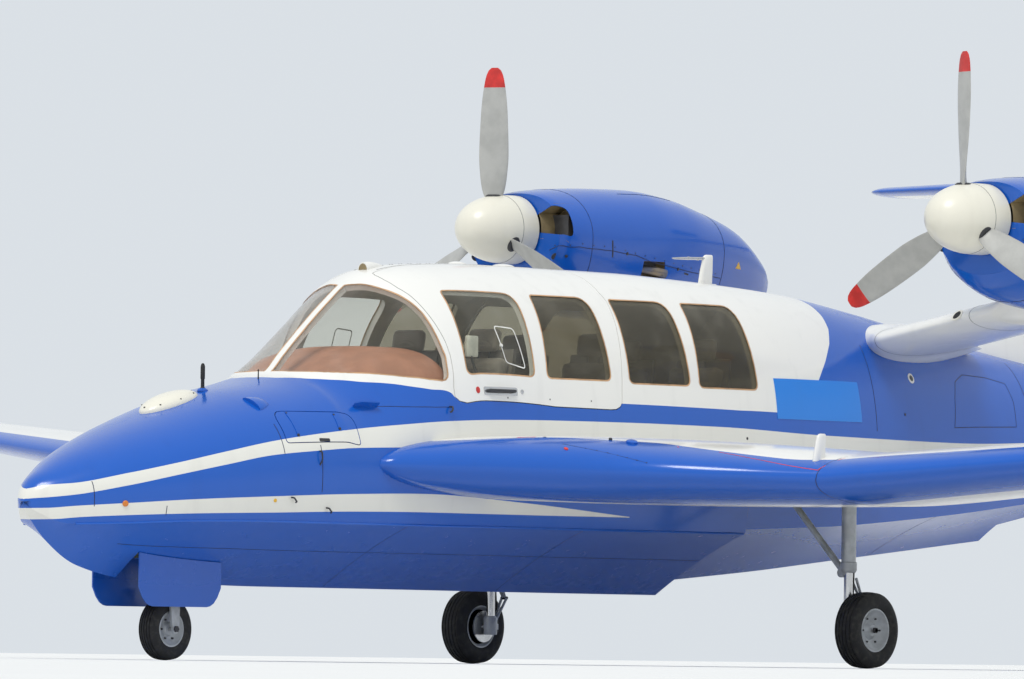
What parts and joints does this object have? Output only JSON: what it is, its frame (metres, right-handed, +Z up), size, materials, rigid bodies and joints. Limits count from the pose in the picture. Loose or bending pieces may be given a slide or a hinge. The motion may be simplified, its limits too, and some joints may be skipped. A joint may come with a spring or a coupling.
{
  "type": "amphibious flying boat",
  "caption": "Low-winged amphibious flying boat with cabin, gull-wing doors, engines on pylons over the wing, and wheeled gear.",
  "frame": {"origin": "on the ground under the wheels, below the middle of the length and of the span", "axes": "+X towards the nose, +Y to port along the span, +Z up"},
  "size_m": [10.65, 12.72, 3.757],
  "materials": {
    "blue_paint": "gloss",
    "white_paint": "gloss",
    "cream_paint": "satin",
    "windscreen_glass": "gloss",
    "side_glass": "gloss",
    "seat_fabric": "matte",
    "panel_trim": "matte",
    "engine_metal": "satin",
    "propeller_paint": "satin",
    "gear_metal": "satin",
    "tyre_rubber": "matte"
  },
  "bodies": {
    "airframe": {"hull_bow": "blue_paint", "hull_bottom": "blue_paint", "cabin_side_left": "blue_paint", "cabin_side_right": "blue_paint", "hull_tail": "blue_paint", "baggage_floor": "panel_trim", "cabin_top": "white_paint", "windscreen_left": "windscreen_glass", "windscreen_right": "windscreen_glass", "cabin_window_front_left": "side_glass", "cabin_window_front_right": "side_glass", "cabin_window_rear_left": "side_glass", "cabin_window_rear_right": "side_glass", "seat_front_left": "seat_fabric", "seat_front_right": "seat_fabric", "seat_middle_left": "seat_fabric", "seat_middle_right": "seat_fabric", "seat_rear_left": "seat_fabric", "seat_rear_right": "seat_fabric", "wing_left": "blue_paint", "wing_right": "blue_paint", "nacelle_left": "blue_paint", "nacelle_right": "blue_paint", "engine_left": "engine_metal", "engine_right": "engine_metal", "pylon_left": "white_paint", "pylon_right": "white_paint", "main_leg_left": "gear_metal", "main_leg_right": "gear_metal", "nose_gear_door_left": "blue_paint", "nose_gear_door_right": "blue_paint", "instrument_panel": "panel_trim", "fin": "white_paint", "nose_leg": "gear_metal", "antenna_fairing": "cream_paint", "air_data_mast": "white_paint"},
    "door_left": {"door_left": "white_paint", "door_window_front_left": "side_glass", "door_window_rear_left": "side_glass"},
    "flap_left": {"flap_left": "white_paint"},
    "aileron_left": {"aileron_left": "white_paint"},
    "propeller_left": {"propeller_left": "propeller_paint"},
    "main_wheel_left": {"main_wheel_left": "tyre_rubber"},
    "door_right": {"door_right": "white_paint", "door_window_front_right": "side_glass", "door_window_rear_right": "side_glass"},
    "flap_right": {"flap_right": "white_paint"},
    "aileron_right": {"aileron_right": "white_paint"},
    "propeller_right": {"propeller_right": "propeller_paint"},
    "main_wheel_right": {"main_wheel_right": "tyre_rubber"},
    "rudder": {"rudder": "white_paint"},
    "stabiliser": {"stabiliser": "white_paint"},
    "nose_hatch": {"nose_hatch": "blue_paint"},
    "nose_fork": {"nose_fork": "gear_metal"},
    "nose_wheel": {"nose_wheel": "tyre_rubber"}
  },
  "joints": [
    {"name": "flap_left_hinge", "type": "hinge", "parent": "airframe", "child": "flap_left", "pos_m": [-0.14697, 2.25, 1.01436], "axis": [0.1872, -0.9786, -0.0854], "range_deg": [0, 25]},
    {"name": "flap_right_hinge", "type": "hinge", "parent": "airframe", "child": "flap_right", "pos_m": [-0.14697, -2.25, 1.01436], "axis": [-0.1872, -0.9786, 0.0854], "range_deg": [0, 25]},
    {"name": "aileron_left_hinge", "type": "hinge", "parent": "airframe", "child": "aileron_left", "pos_m": [-0.48952, 4.04, 1.17051], "axis": [0.1883, -0.9783, -0.0858], "range_deg": [-20, 20]},
    {"name": "aileron_right_hinge", "type": "hinge", "parent": "airframe", "child": "aileron_right", "pos_m": [-0.48952, -4.04, 1.17051], "axis": [-0.1883, -0.9783, 0.0858], "range_deg": [-20, 20]},
    {"name": "rudder_hinge", "type": "hinge", "parent": "airframe", "child": "rudder", "pos_m": [-4.355, 0, 1.42], "axis": [-0.2526, 0, 0.9676], "range_deg": [-25, 25]},
    {"name": "stabiliser_pivot", "type": "hinge", "parent": "airframe", "child": "stabiliser", "pos_m": [-3.915, 0, 2.82], "axis": [0, 1, 0], "range_deg": [-6, 15]},
    {"name": "door_left_hinge", "type": "hinge", "parent": "airframe", "child": "door_left", "pos_m": [1.975, 0.1, 2.158], "axis": [1, 0, 0], "range_deg": [0, 75]},
    {"name": "propeller_left_spin", "type": "hinge", "parent": "airframe", "child": "propeller_left", "pos_m": [-0.275, 1.7, 2.46], "axis": [1, 0, 0], "continuous": true},
    {"name": "main_wheel_left_spin", "type": "hinge", "parent": "airframe", "child": "main_wheel_left", "pos_m": [0.175, 1.42, 0.2082], "axis": [0, 1, 0], "continuous": true},
    {"name": "door_right_hinge", "type": "hinge", "parent": "airframe", "child": "door_right", "pos_m": [1.975, -0.1, 2.158], "axis": [-1, 0, 0], "range_deg": [0, 75]},
    {"name": "propeller_right_spin", "type": "hinge", "parent": "airframe", "child": "propeller_right", "pos_m": [-0.275, -1.7, 2.46], "axis": [1, 0, 0], "continuous": true},
    {"name": "main_wheel_right_spin", "type": "hinge", "parent": "airframe", "child": "main_wheel_right", "pos_m": [0.175, -1.42, 0.2082], "axis": [0, 1, 0], "continuous": true},
    {"name": "nose_hatch_hinge", "type": "hinge", "parent": "airframe", "child": "nose_hatch", "pos_m": [3.69, 0.524, 1.314], "axis": [0.9686, -0.2486, 0], "range_deg": [0, 85]},
    {"name": "nose_steering", "type": "hinge", "parent": "airframe", "child": "nose_fork", "pos_m": [4.275, 0, 0.42], "axis": [0, 0, 1], "range_deg": [-35, 35]},
    {"name": "nose_wheel_spin", "type": "hinge", "parent": "nose_fork", "child": "nose_wheel", "pos_m": [4.24, 0, 0.16359], "axis": [0, 1, 0], "continuous": true}
  ]
}
